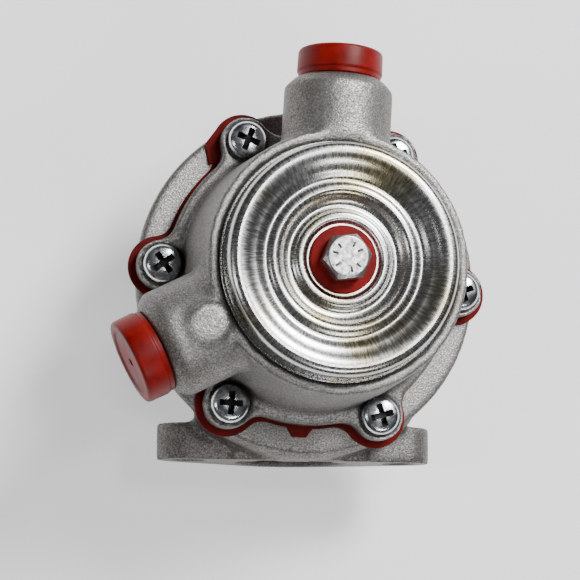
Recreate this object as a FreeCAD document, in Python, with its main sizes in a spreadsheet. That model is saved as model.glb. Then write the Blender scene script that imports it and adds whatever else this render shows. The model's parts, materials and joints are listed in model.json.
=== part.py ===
import FreeCAD, Part
import Sketcher
import os
import re

# Mechanical diaphragm fuel lift pump.
# Row frame: origin at the middle of the engine flange's two bolt holes, on the mating face.
# The mating face looks along -Y, the diaphragm axis stands along +Z, the cover is on top.
# "Head" pieces are placed from the point where the diaphragm axis meets the joint face.
# A cutter runs 1 mm past each face that it opens.

sizes = {
    # engine flange
    "bolt_spacing": 54.0,
    "bolt_hole_r": 4.25,
    "ear_r": 7.6,
    "flange_thick": 9.1,
    "lobe_drop": 7.0,
    "house_r": 17.0,
    # where the head stands
    "joint_z": 15.0,
    "head_turn": 3.2,
    # lower body
    "disc_r": 42.5,
    "disc_clear": 1.2,
    "disc_thick": 4.5,
    "web_half": 27.0,
    "web_thick": 3.0,
    "web_r": 43.5,
    "bowl_r": 34.0,
    "chamber_r": 30.5,
    "chamber_depth": 11.0,
    "house_wall": 4.0,
    "house_end": 17.0,
    "roof_wall": 2.5,
    "window_half": 9.0,
    "window_top": 5.0,
    "window_depth": 10.5,
    "boss_r": 5.2,
    "boss_depth": 10.0,
    # six body screws
    "screw_circle_r": 37.2,
    "screw_r": 2.5,
    "screw_length": 15.0,
    "screw_tip": 0.6,
    "screw_head_r": 4.75,
    "screw_head_high": 3.0,
    "recess_width": 1.3,
    "recess_span": 5.2,
    "recess_depth": 1.7,
    "screw_washer_r": 4.5,
    "screw_washer_thick": 1.0,
    "spot_r": 5.4,
    "spot_depth": 1.5,
    # diaphragm and its stack
    "diaphragm_thick": 0.8,
    "diaphragm_r": 36.4,
    "diaphragm_lobe_r": 7.6,
    "tab_reach": 38.5,
    "tab_root_half": 3.8,
    "tab_tip_half": 1.7,
    "corner_screw": 120.0,
    "corner_out": 4.2,
    "corner_along": 8.3,
    "corner_root": 9.9,
    "plate_r": 21.0,
    "plate_thick": 1.2,
    "rod_r": 2.5,
    "rod_collar_r": 4.0,
    "rod_collar_high": 1.2,
    "rod_foot_r": 4.5,
    "rod_foot_high": 1.5,
    "nut_r": 4.6,
    "nut_high": 2.5,
    "spring_r": 12.0,
    "spring_wire_r": 0.8,
    "spring_pitch": 3.2,
    # rod seal
    "seal_boss_r": 6.0,
    "seal_boss_high": 4.0,
    "seal_r": 4.5,
    "seal_depth": 3.5,
    "retainer_thick": 0.8,
    "retainer_skirt": 2.0,
    # levers
    "pivot_y": 18.0,
    "pivot_z": -8.0,
    "pin_r": 3.0,
    "pin_half": 14.3,
    "pin_plug_r": 4.0,
    "pin_plug_thick": 1.2,
    "rocker_half": 3.0,
    "rocker_hub_r": 5.4,
    "pad_y": 3.5,
    "pad_z": -1.0,
    "pad_r": 3.2,
    "pad_half": 4.0,
    "arm_thick": 4.4,
    "toe_reach": 15.0,
    "toe_thick": 2.4,
    "link_wall": 2.4,
    "link_hub_r": 4.4,
    "link_thick": 3.0,
    "link_web_start": 11.5,
    "link_overhang": 4.5,
    "fork_gap": 1.2,
    "fork_side_gap": 0.5,
    "spacer_r": 4.2,
    "return_spring_r": 2.2,
    "return_wire_r": 0.5,
    "return_spring_pitch": 1.7,
    "return_spring_arm": 7.6,
    "return_seat_half": 3.4,
    # upper body
    "waist_r": 35.8,
    "lobe_r": 6.05,
    "lobe_blend": 5.0,
    "flange_top": 6.0,
    "drum_foot_r": 33.2,
    "drum_top_r": 31.0,
    "rim_top": 33.8,
    "deck_low": 9.0,
    "deck_high": 15.0,
    "bowl_bore_r": 23.5,
    "filter_seat_z": 29.0,
    "filter_bore_r": 25.0,
    "seal_seat_z": 32.2,
    "seal_seat_r": 28.7,
    "pillar_r": 5.5,
    "pillar_top": 26.5,
    "bolt_hole_low": 13.0,
    "tower_r": 9.5,
    "tower_top": 28.0,
    "tower_roof": 2.0,
    # ports
    "port_z": 21.5,
    "port_spacing": 120.0,
    "port_r": 13.0,
    "port_reach": 45.6,
    "port_chamfer": 2.6,
    "port_thread_r": 7.3,
    "port_thread_length": 12.0,
    "passage_r": 4.0,
    "pad_boss_r": 4.7,
    "pad_boss_place": 34.5,
    "pad_boss_top": 35.2,
    "plug_r": 10.3,
    "plug_head": 7.0,
    "plug_shank": 8.0,
    "plug_hollow_r": 5.6,
    "plug_edge": 1.0,
    # cover, its seal, bolt and washer
    "cover_thick": 0.8,
    "cover_flange_r": 28.4,
    "cover_wall_r": 27.4,
    "cover_top": 40.0,
    "cover_corner": 1.8,
    "cover_crown": 0.2,
    "step_run": 0.6,
    "first_step_r": 23.4,
    "first_step_drop": 1.0,
    "second_step_r": 20.9,
    "second_step_drop": 1.3,
    "well_edge_r": 17.0,
    "well_edge_drop": 2.2,
    "well_foot_r": 15.0,
    "well_drop": 4.0,
    "well_round": 1.2,
    "ring_foot_r": 11.4,
    "ring_r": 9.9,
    "ring_drop": 3.2,
    "seat_r": 8.6,
    "seat_drop": 3.8,
    "cover_seal_width": 2.9,
    "cover_seal_thick": 1.0,
    "fibre_r": 7.9,
    "fibre_thick": 1.2,
    "cover_bolt_r": 3.0,
    "cover_bolt_hex_r": 5.77,
    "cover_bolt_head": 4.4,
    "cover_bolt_chamfer": 0.9,
    "cover_bolt_length": 21.0,
    # filter
    "filter_frame_width": 2.2,
    "filter_frame_thick": 1.4,
    "gauze_thick": 0.3,
    # two valves
    "valve_r": 7.0,
    "valve_wall": 1.2,
    "valve_seat_thick": 2.5,
    "valve_hole_r": 3.4,
    "valve_disc_r": 4.8,
    "valve_disc_thick": 1.2,
    "valve_cage_high": 6.4,
    "valve_roof": 1.0,
    "valve_vent_r": 1.5,
    "valve_vent_place": 4.0,
    "valve_spring_r": 2.4,
    "valve_wire_r": 0.35,
    "valve_spring_pitch": 1.2,
    "valve_set_in": 0.5,
    "inlet_valve_place": 14.0,
    "outlet_valve_place": 16.0,
    # clearances
    "running_gap": 0.05,
    "seat_gap": 0.02,
    "free_gap": 0.3,
    "loose_gap": 0.8,
    "hole_gap": 0.3,
    "contact_gap": 0.05,
}

screw_turns = [20, 20, -18, 40, 0, 20]
head_angles = [60 * step for step in range(6)]
# The axis keeps the disc just off the mating face.
axis_reach = "disc_r + disc_clear"

doc = FreeCAD.newDocument("fuel_lift_pump")
sheet = doc.addObject("Spreadsheet::Sheet", "Sizes")
for row, (alias, value) in enumerate(sizes.items(), start=1):
    sheet.set("A%d" % row, alias)
    sheet.set("B%d" % row, str(value))
    sheet.setAlias("B%d" % row, alias)
doc.recompute()


def linked(text):
    """The expression with each size's name pointed at the spreadsheet."""
    def pointed(word):
        return "Sizes." + word.group() if word.group() in sizes else word.group()

    return re.sub(r"[a-z][a-z_]*", pointed, text)


def number(text):
    """What an expression comes to now."""
    value = sheet.evalExpression(linked(text))
    return float(getattr(value, "Value", value))


def bind(item, prop, text):
    item.setExpression(prop, linked(text))


def place(item, at, axis=None, angle="0"):
    """Place an object: expressions for its position, and a turn about one axis."""
    if axis is not None:
        turn = FreeCAD.Rotation(FreeCAD.Vector(*axis), number(angle))
        item.Placement = FreeCAD.Placement(FreeCAD.Vector(), turn)
        bind(item, "Placement.Rotation.Angle", "(%s) * 1 deg" % angle)
    for letter, text in zip("xyz", at):
        bind(item, "Placement.Base." + letter, text)
    return item


def cylinder(radius, height, at=("0", "0", "0"), axis=None, angle="0"):
    """Upright cylinder from its lower end, or turned about an axis."""
    item = doc.addObject("Part::Cylinder", "cylinder")
    bind(item, "Radius", radius)
    bind(item, "Height", height)
    return place(item, at, axis, angle)


def along_y(radius, height, at):
    return cylinder(radius, height, at, (-1, 0, 0), "90")


def along_x(radius, half, at):
    """Cylinder along X, the same length to each side of its place."""
    return cylinder(radius, "2 * (%s)" % half, ("-(%s)" % half, at[1], at[2]), (0, 1, 0), "90")


def block(size, at):
    """Box from its lowest corner."""
    item = doc.addObject("Part::Box", "block")
    for prop, text in zip(("Length", "Width", "Height"), size):
        bind(item, prop, text)
    return place(item, at)


def cone(low_r, high_r, height, at):
    item = doc.addObject("Part::Cone", "cone")
    bind(item, "Radius1", low_r)
    bind(item, "Radius2", high_r)
    bind(item, "Height", height)
    return place(item, at)


def joined(items, name="joined"):
    item = doc.addObject("Part::MultiFuse", name)
    item.Shapes = items
    return item


def cut(base, tools, name="cut"):
    item = doc.addObject("Part::Cut", name)
    item.Base = base
    item.Tool = tools[0] if len(tools) == 1 else joined(tools)
    return item


def blended(discs, name):
    """Discs joined into one flat outline, with a concave blend where two of them meet."""
    outline = joined(discs, name + "_outline")
    doc.recompute()
    blend = number("lobe_blend")
    creases = []
    for index, edge in enumerate(outline.Shape.Edges, start=1):
        upright = len(edge.Vertexes) == 2 and abs(edge.tangentAt(edge.FirstParameter).z) > 0.99
        if upright and len(outline.Shape.ancestorsOfType(edge, Part.Face)) == 2:
            creases.append((index, blend, blend))
    item = doc.addObject("Part::Fillet", name)
    item.Base = outline
    item.Edges = creases
    return item


def overlap(base, tool):
    item = doc.addObject("Part::Common", "overlap")
    item.Base = base
    item.Tool = tool
    return item


def group(items, name):
    item = doc.addObject("Part::Compound", name)
    item.Links = items
    return item


def outline_sketch(body, plane, points, name):
    """Closed outline through the points, each corner held by its two distances."""
    sketch = body.newObject("Sketcher::SketchObject", name)
    origin = [item for item in body.Origin.OriginFeatures if item.Role == plane][0]
    sketch.AttachmentSupport = [(origin, "")]
    sketch.MapMode = "FlatFace"
    spots = [FreeCAD.Vector(number(across), number(up), 0) for across, up in points]
    for index, spot in enumerate(spots):
        sketch.addGeometry(Part.LineSegment(spot, spots[(index + 1) % len(spots)]), False)
    for index in range(len(spots)):
        sketch.addConstraint(Sketcher.Constraint("Coincident", index, 2, (index + 1) % len(spots), 1))
    for index, (across, up) in enumerate(points):
        held_ways = (("DistanceX", across, spots[index].x, -2), ("DistanceY", up, spots[index].y, -1))
        for kind, text, value, line in held_ways:
            if text == "0":
                sketch.addConstraint(Sketcher.Constraint("PointOnObject", index, 1, line))
                continue
            held = sketch.addConstraint(Sketcher.Constraint(kind, -1, 1, index, 1, value))
            bind(sketch, "Constraints[%d]" % held, text)
    return sketch


def turned(name, points, at=("0", "0", "0"), axis=None, angle="0"):
    """Body turned about its own Z from an outline of radius and height."""
    body = doc.addObject("PartDesign::Body", name)
    sketch = outline_sketch(body, "XZ_Plane", points, name + "_outline")
    spin = body.newObject("PartDesign::Revolution", name + "_turned")
    spin.Profile = sketch
    spin.ReferenceAxis = (sketch, ["V_Axis"])
    spin.Angle = 360
    place(body, at, axis, angle)
    return body


def ring(name, inner, outer, low, high, at=("0", "0", "0")):
    return turned(name, [(inner, low), (outer, low), (outer, high), (inner, high)], at)


def pad(name, plane, points, length, both=False):
    """Body padded from an outline, on one side or on both sides of its plane."""
    body = doc.addObject("PartDesign::Body", name)
    sketch = outline_sketch(body, plane, points, name + "_outline")
    item = body.newObject("PartDesign::Pad", name + "_pad")
    item.Profile = sketch
    bind(item, "Length", length)
    item.Midplane = both
    return body


def coil(name, radius, wire, pitch, low, high, at=("0", "0", "0"), axis=None, angle="0"):
    """Round-wire compression spring between two heights, wire surfaces included."""
    spine = doc.addObject("Part::Helix", name + "_spine")
    spine.SegmentLength = 0
    bind(spine, "Radius", radius)
    bind(spine, "Pitch", pitch)
    bind(spine, "Height", "(%s) - (%s) - 2 * (%s)" % (high, low, wire))
    section = doc.addObject("Part::Circle", name + "_section")
    bind(section, "Radius", wire)
    place(section, (radius, "0", "0"), (1, 0, 0), "90")
    sweep = doc.addObject("Part::Sweep", name + "_sweep")
    sweep.Sections = [section]
    sweep.Spine = (spine, [])
    sweep.Solid = True
    sweep.Frenet = False
    lifted = group([sweep], name + "_lifted")
    place(lifted, ("0", "0", "(%s) + (%s)" % (low, wire)))
    final = group([lifted], name)
    place(final, at, axis, angle)
    return final


parts = []


def finish(item, label, head=False):
    """Name a sub-part and, for a head piece, stand it on the diaphragm axis."""
    item.Label = label
    if head:
        place(item, ("0", axis_reach, "joint_z"), (0, 0, 1), "-head_turn")
    parts.append(item)
    return item


def spot(radius, step, offset="0"):
    """Place on a circle about the head's axis, in steps of 60 degrees."""
    return ("(%s) * cos(%s * 1 deg)" % (radius, step), "(%s) * sin(%s * 1 deg)" % (radius, step), offset)


def screw_spots(radius, height, low):
    return [cylinder(radius, height, spot("screw_circle_r", step, low)) for step in head_angles]


# ---------------------------------------------------------------- lower body
def lower_body():
    """Casting with the engine flange, the lever housing and the lower half of the joint."""
    slant = "asin((house_r - ear_r) / sqrt(bolt_spacing ^ 2 / 4 + lobe_drop ^ 2))"
    lean = "atan(lobe_drop / (bolt_spacing / 2))"
    side = "(%s + %s)" % (slant, lean)
    ear_x = "bolt_spacing / 2"
    plate = pad("flange_plate", "XZ_Plane", [
        ("-(%s)" % ear_x, "ear_r"),
        (ear_x, "ear_r"),
        ("%s + ear_r * sin(%s)" % (ear_x, side), "-ear_r * cos(%s)" % side),
        ("house_r * sin(%s)" % side, "-lobe_drop - house_r * cos(%s)" % side),
        ("-house_r * sin(%s)" % side, "-lobe_drop - house_r * cos(%s)" % side),
        ("-(%s) - ear_r * sin(%s)" % (ear_x, side), "-ear_r * cos(%s)" % side),
    ], "flange_thick")
    plate.Tip.Reversed = True
    ears = [along_y("ear_r", "flange_thick", (sign + ear_x, "0", "0")) for sign in ("", "-")]
    house_length = axis_reach + " + house_end"
    house = along_y("house_r", house_length, ("0", "0", "-lobe_drop"))
    roof = block(("2 * house_r", house_length, "lobe_drop + roof_wall"), ("-house_r", "0", "-lobe_drop"))
    web_low = "joint_z - disc_thick - web_thick"
    web = overlap(
        block(("2 * web_half", axis_reach, "web_thick + disc_thick / 2"), ("-web_half", "0", web_low)),
        cylinder("web_r", "web_thick + disc_thick / 2", ("0", axis_reach, web_low)),
    )
    gusset = block(("2 * house_r", "flange_thick", "%s + 0.5" % web_low), ("-house_r", "0", "0"))
    disc = cylinder("disc_r", "disc_thick", ("0", axis_reach, "joint_z - disc_thick"))
    bowl = cylinder("bowl_r", "joint_z", ("0", axis_reach, "0"))
    bosses = group(screw_spots("boss_r", "boss_depth", "-boss_depth"), "screw_bosses")
    place(bosses, ("0", axis_reach, "joint_z"), (0, 0, 1), "-head_turn")
    outside = joined([plate] + ears + [house, roof, web, gusset, disc, bowl, bosses], "lower_outside")

    floor_top = "joint_z - chamber_depth"
    chamber = cylinder("chamber_r", "chamber_depth + 1", ("0", axis_reach, floor_top))
    core_r = "house_r - house_wall"
    core_length = axis_reach + " + house_end - house_wall + 1"
    core = overlap(
        along_y(core_r, core_length, ("0", "-1", "-lobe_drop")),
        block(("2 * house_r", axis_reach + " + house_end + 2", "house_r"),
              ("-house_r", "-2", "-lobe_drop - house_r")),
    )
    core_top = block(("2 * (%s)" % core_r, core_length, "lobe_drop"), ("-(%s)" % core_r, "-1", "-lobe_drop"))
    window = block(("2 * window_half", "window_depth + 1", "window_top + 1"), ("-window_half", "-1", "-1"))
    seal_boss = cylinder("seal_boss_r", "seal_boss_high + 1", ("0", axis_reach, floor_top + " - 1"))
    cast = cut(outside, [cut(chamber, [seal_boss]), core, core_top, window], "lower_cast")

    rod_bore = cylinder("rod_r + running_gap", "joint_z", ("0", axis_reach, "-0.5"))
    pocket_low = floor_top + " + seal_boss_high - seal_depth"
    seal_pocket = cylinder("seal_r + seat_gap", "seal_depth + 1", ("0", axis_reach, pocket_low))
    pin_place = ("0", "pivot_y", "pivot_z")
    pin_bore = along_x("pin_r + seat_gap", "house_r + 1", pin_place)
    plug_start = "pin_half + seat_gap"
    plug_bores = [
        cylinder("pin_plug_r + seat_gap", "house_r", (start, "pivot_y", "pivot_z"), (0, 1, 0), angle)
        for start, angle in ((plug_start, "90"), ("-(%s)" % plug_start, "-90"))
    ]
    bolt_holes = [along_y("bolt_hole_r", "flange_thick + 2", (sign + ear_x, "-1", "0")) for sign in ("", "-")]
    tapped = group(screw_spots("screw_r + seat_gap", "boss_depth + 2", "-boss_depth - 1"), "tapped_holes")
    place(tapped, ("0", axis_reach, "joint_z"), (0, 0, 1), "-head_turn")
    tools = [rod_bore, seal_pocket, pin_bore] + plug_bores + bolt_holes + [tapped]
    finish(cut(cast, tools, "lower_body"), "lower_body")


# ---------------------------------------------------------------- upper body
def port_turn(item, name, inlet):
    """The outlet points along the head's own +Y; the inlet is one port spacing round from it."""
    turned_port = group([item], name)
    place(turned_port, ("0", "0", "0"), (0, 0, 1), "port_spacing" if inlet else "0")
    return turned_port


def port_boss(name):
    """Round boss along +Y with a chamfered mouth."""
    return turned(name, [
        ("0", "0"),
        ("port_r", "0"),
        ("port_r", "port_reach - port_chamfer"),
        ("port_r - port_chamfer", "port_reach"),
        ("0", "port_reach"),
    ], ("0", "0", "port_z"), (-1, 0, 0), "90")


def upper_body():
    """Casting with the valve deck, the two port bosses and the rim that carries the cover."""
    waist = cylinder("waist_r", "flange_top - diaphragm_thick", ("0", "0", "diaphragm_thick"))
    lobes = screw_spots("lobe_r", "flange_top - diaphragm_thick", "diaphragm_thick")
    drum = cone("drum_foot_r", "drum_top_r", "rim_top - diaphragm_thick", ("0", "0", "diaphragm_thick"))
    outlet_boss = port_turn(port_boss("outlet_round"), "outlet_boss", False)
    inlet_boss = port_turn(port_boss("inlet_round"), "inlet_boss", True)
    marker = port_turn(
        cylinder("pad_boss_r", "pad_boss_top - port_z", ("0", "pad_boss_place", "port_z")), "round_pad", True)
    flange = blended([waist] + lobes, "upper_flange")
    outside = joined([flange, drum, outlet_boss, inlet_boss, marker], "upper_outside")

    pump_room = cylinder("chamber_r", "deck_low - diaphragm_thick + 1", ("0", "0", "diaphragm_thick - 1"))
    cover_room = cylinder("bowl_bore_r", "port_reach", ("0", "0", "deck_high"))
    filter_room = cylinder("filter_bore_r", "port_reach", ("0", "0", "filter_seat_z"))
    seal_room = cylinder("seal_seat_r", "port_reach", ("0", "0", "seal_seat_z"))
    hollow = cut(outside, [pump_room, cover_room, filter_room, seal_room], "upper_hollow")

    pillar = cylinder("pillar_r", "pillar_top - deck_low", ("0", "0", "deck_low"))
    tower = cylinder("tower_r", "tower_top - deck_low", ("0", "outlet_valve_place", "deck_low"))
    cast = joined([hollow, pillar, tower], "upper_cast")

    bolt_hole = cylinder("cover_bolt_r + seat_gap", "port_reach", ("0", "0", "bolt_hole_low"))
    pocket_r = "valve_r + seat_gap"
    outlet_pocket = cylinder(pocket_r, "tower_top - tower_roof - deck_low + 1",
                             ("0", "outlet_valve_place", "deck_low - 1"))
    inlet_pocket = cylinder(pocket_r, "deck_high - deck_low + 2", ("0", "-inlet_valve_place", "deck_low - 1"))
    tools = [bolt_hole, outlet_pocket, inlet_pocket]
    for name, inlet in (("outlet", False), ("inlet", True)):
        thread = along_y(
            "port_thread_r", "port_thread_length + 1", ("0", "port_reach - port_thread_length", "port_z"))
        start = "bowl_bore_r - 2" if inlet else "outlet_valve_place"
        passage = along_y("passage_r", "port_reach - (%s)" % start, ("0", start, "port_z"))
        tools.append(port_turn(joined([thread, passage]), name + "_way", inlet))
    tools += screw_spots("screw_r + hole_gap", "flange_top + 2", "-1")
    tools += screw_spots("spot_r", "spot_depth + screw_head_high + 2", "flange_top - spot_depth")
    finish(cut(cast, tools, "upper_body"), "upper_body", head=True)


# ---------------------------------------------------------------- cover group
def cover_group():
    base = "seal_seat_z + cover_seal_thick"
    gauge = "cover_thick"
    top = [
        ("cover_flange_r", base),
        ("cover_flange_r", "%s + %s" % (base, gauge)),
        ("cover_wall_r", "%s + %s" % (base, gauge)),
        ("cover_wall_r", "cover_top - cover_corner"),
        ("cover_wall_r - 0.3 * cover_corner", "cover_top - 0.3 * cover_corner"),
        ("cover_wall_r - cover_corner", "cover_top"),
        ("first_step_r", "cover_top - cover_crown"),
        ("first_step_r - step_run", "cover_top - first_step_drop"),
        ("second_step_r", "cover_top - second_step_drop"),
        ("well_edge_r", "cover_top - well_edge_drop"),
        ("well_foot_r", "cover_top - well_drop + 0.4 * well_round"),
        ("well_foot_r - well_round", "cover_top - well_drop"),
        ("ring_foot_r", "cover_top - well_drop"),
        ("ring_r", "cover_top - ring_drop"),
        ("seat_r", "cover_top - seat_drop"),
        ("cover_bolt_r + hole_gap", "cover_top - seat_drop"),
    ]
    under = [(across, "%s - %s" % (up, gauge)) for across, up in reversed(top[6:])]
    under += [
        ("cover_wall_r - cover_corner", "cover_top - %s" % gauge),
        ("cover_wall_r - 0.3 * cover_corner - %s" % gauge,
         "cover_top - 0.3 * cover_corner - 0.5 * %s" % gauge),
        ("cover_wall_r - %s" % gauge, "cover_top - cover_corner - 0.4 * %s" % gauge),
        ("cover_wall_r - %s" % gauge, base),
    ]
    finish(turned("top_cover", top + under), "top_cover", head=True)
    finish(ring("cover_seal", "cover_flange_r - cover_seal_width", "cover_flange_r",
                "seal_seat_z", base), "cover_seal", head=True)
    seat = "cover_top - seat_drop"
    finish(ring("bolt_washer", "cover_bolt_r + hole_gap", "fibre_r", seat, seat + " + fibre_thick"),
           "bolt_washer", head=True)

    under_head = seat + " + fibre_thick"
    hexagon = doc.addObject("Part::Prism", "bolt_hexagon")
    hexagon.Polygon = 6
    bind(hexagon, "Circumradius", "cover_bolt_hex_r")
    bind(hexagon, "Height", "cover_bolt_head")
    place(hexagon, ("0", "0", under_head))
    crown = turned("bolt_crown", [
        ("0", under_head),
        ("cover_bolt_hex_r", under_head),
        ("cover_bolt_hex_r", under_head + " + cover_bolt_head - cover_bolt_chamfer / 2"),
        ("cover_bolt_hex_r - cover_bolt_chamfer", under_head + " + cover_bolt_head"),
        ("0", under_head + " + cover_bolt_head"),
    ])
    shank = cylinder("cover_bolt_r", "cover_bolt_length + cover_bolt_chamfer",
                     ("0", "0", under_head + " - cover_bolt_length"))
    finish(joined([overlap(hexagon, crown), shank], "cover_bolt"), "cover_bolt", head=True)

    frame_low = "filter_seat_z"
    frame_r = "filter_bore_r - free_gap"
    gauze_low = "filter_seat_z + filter_frame_thick / 2"
    groove_r = "%s - filter_frame_width / 2" % frame_r
    finish(turned("filter_frame", [
        ("%s - filter_frame_width" % frame_r, frame_low),
        (frame_r, frame_low),
        (frame_r, frame_low + " + filter_frame_thick"),
        ("%s - filter_frame_width" % frame_r, frame_low + " + filter_frame_thick"),
        ("%s - filter_frame_width" % frame_r, gauze_low + " + gauze_thick"),
        (groove_r, gauze_low + " + gauze_thick"),
        (groove_r, gauze_low),
        ("%s - filter_frame_width" % frame_r, gauze_low),
    ]), "filter_frame", head=True)
    finish(ring("filter_gauze", "cover_bolt_r + hole_gap", groove_r + " - contact_gap",
                gauze_low, gauze_low + " + gauze_thick"), "filter_gauze", head=True)


# ---------------------------------------------------------------- port plugs
def port_plugs():
    for name, inlet in (("outlet_plug", False), ("inlet_plug", True)):
        mouth = "contact_gap"
        shell = turned(name + "_shell", [
            ("0", mouth),
            ("plug_r", mouth),
            ("plug_r", mouth + " + plug_head - plug_edge"),
            ("plug_r - 0.3 * plug_edge", mouth + " + plug_head - 0.3 * plug_edge"),
            ("plug_r - plug_edge", mouth + " + plug_head"),
            ("0", mouth + " + plug_head"),
        ])
        shank = cylinder("port_thread_r - hole_gap / 2", "plug_shank + 1", ("0", "0", "-plug_shank"))
        hollow = cylinder("plug_hollow_r", "plug_shank + 3", ("0", "0", "-plug_shank - 1"))
        plug = cut(joined([shell, shank]), [hollow], name + "_moulded")
        lying = group([plug], name + "_lying")
        place(lying, ("0", "port_reach", "port_z"), (-1, 0, 0), "90")
        finish(port_turn(lying, name, inlet), name)
        place(parts[-1], ("0", axis_reach, "joint_z"), (0, 0, 1),
              "port_spacing - head_turn" if inlet else "-head_turn")


# ---------------------------------------------------------------- body screws
def body_screws():
    seat = "flange_top - spot_depth"
    head_low = seat + " + screw_washer_thick"
    screws = []
    for step, turn in zip(head_angles, screw_turns):
        screw = turned("screw_%d" % step, [
            ("0", head_low + " - screw_length"),
            ("screw_r - screw_tip", head_low + " - screw_length"),
            ("screw_r", head_low + " - screw_length + screw_tip"),
            ("screw_r", head_low),
            ("screw_head_r", head_low),
            ("screw_head_r", head_low + " + 0.45 * screw_head_high"),
            ("0.88 * screw_head_r", head_low + " + 0.75 * screw_head_high"),
            ("0.62 * screw_head_r", head_low + " + 0.93 * screw_head_high"),
            ("0.3 * screw_head_r", head_low + " + screw_head_high"),
            ("0", head_low + " + screw_head_high"),
        ])
        cross = [
            block(("recess_span", "recess_width", "2 * recess_depth"),
                  ("-recess_span / 2", "-recess_width / 2", head_low + " + screw_head_high - recess_depth")),
            block(("recess_width", "recess_span", "2 * recess_depth"),
                  ("-recess_width / 2", "-recess_span / 2", head_low + " + screw_head_high - recess_depth")),
        ]
        driven = cut(screw, cross, "driven_%d" % step)
        placed = group([driven], "placed_%d" % step)
        place(placed, spot("screw_circle_r", step), (0, 0, 1), str(turn))
        screws.append(placed)
    finish(group(screws, "body_screws"), "body_screws", head=True)
    washers = [cut(outer, [inner]) for outer, inner in zip(
        screw_spots("screw_washer_r", "screw_washer_thick", seat),
        screw_spots("screw_r + seat_gap", "screw_washer_thick + 2", seat + " - 1"))]
    finish(group(washers, "screw_washers"), "screw_washers", head=True)


# ---------------------------------------------------------------- diaphragm stack
def diaphragm_stack():
    sheet_disc = cylinder("diaphragm_r", "diaphragm_thick")
    lobes = screw_spots("diaphragm_lobe_r", "diaphragm_thick", "0")
    tab = pad("pull_tab", "XY_Plane", [
        ("-tab_root_half", "-diaphragm_r + 1"),
        ("-tab_tip_half", "-tab_reach"),
        ("tab_tip_half", "-tab_reach"),
        ("tab_root_half", "-diaphragm_r + 1"),
    ], "diaphragm_thick")
    corner = pad("straight_corner", "XY_Plane", [
        ("-1", "0"),
        ("0.92 * diaphragm_lobe_r", "0.38 * diaphragm_lobe_r"),
        ("corner_out", "corner_along"),
        ("-1", "corner_root"),
    ], "diaphragm_thick")
    place(corner, spot("screw_circle_r", "corner_screw"), (0, 0, 1), "corner_screw")
    holes = screw_spots("screw_r + hole_gap", "diaphragm_thick + 2", "-1")
    centre = cylinder("rod_r + hole_gap", "diaphragm_thick + 2", ("0", "0", "-1"))
    blank = joined([blended([sheet_disc] + lobes, "diaphragm_blank"), tab, corner])
    finish(cut(blank, holes + [centre], "diaphragm"), "diaphragm", head=True)

    top = "diaphragm_thick + plate_thick"
    finish(ring("lower_diaphragm_plate", "rod_r + seat_gap", "plate_r", "-plate_thick", "0"),
           "lower_diaphragm_plate", head=True)
    finish(ring("upper_diaphragm_plate", "rod_r + seat_gap", "plate_r", "diaphragm_thick", top),
           "upper_diaphragm_plate", head=True)
    foot_top = "-joint_z + pivot_z - link_thick / 2 - loose_gap"
    finish(turned("pull_rod", [
        ("0", foot_top + " - rod_foot_high"),
        ("rod_foot_r", foot_top + " - rod_foot_high"),
        ("rod_foot_r", foot_top),
        ("rod_r", foot_top),
        ("rod_r", "-plate_thick - rod_collar_high"),
        ("rod_collar_r", "-plate_thick - rod_collar_high"),
        ("rod_collar_r", "-plate_thick"),
        ("rod_r", "-plate_thick"),
        ("rod_r", top + " + nut_high"),
        ("0", top + " + nut_high"),
    ]), "pull_rod", head=True)
    nut = doc.addObject("Part::Prism", "nut_hexagon")
    nut.Polygon = 6
    bind(nut, "Circumradius", "nut_r")
    bind(nut, "Height", "nut_high")
    place(nut, ("0", "0", top))
    finish(cut(nut, [cylinder("rod_r + seat_gap", "nut_high + 2", ("0", "0", top + " - 1"))], "rod_nut"),
           "rod_nut", head=True)
    finish(coil("diaphragm_spring", "spring_r", "spring_wire_r", "spring_pitch",
                "-chamber_depth + contact_gap", "-plate_thick - contact_gap"), "diaphragm_spring", head=True)

    boss_top = "-chamber_depth + seal_boss_high"
    finish(ring("rod_seal", "rod_r + running_gap", "seal_r", boss_top + " - seal_depth", boss_top),
           "rod_seal", head=True)
    skirt_r = "seal_boss_r + seat_gap"
    finish(turned("seal_retainer", [
        ("rod_r + hole_gap", boss_top),
        (skirt_r, boss_top),
        (skirt_r, boss_top + " - retainer_skirt"),
        (skirt_r + " + retainer_thick", boss_top + " - retainer_skirt"),
        (skirt_r + " + retainer_thick", boss_top + " + retainer_thick"),
        ("rod_r + hole_gap", boss_top + " + retainer_thick"),
    ]), "seal_retainer", head=True)


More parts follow.
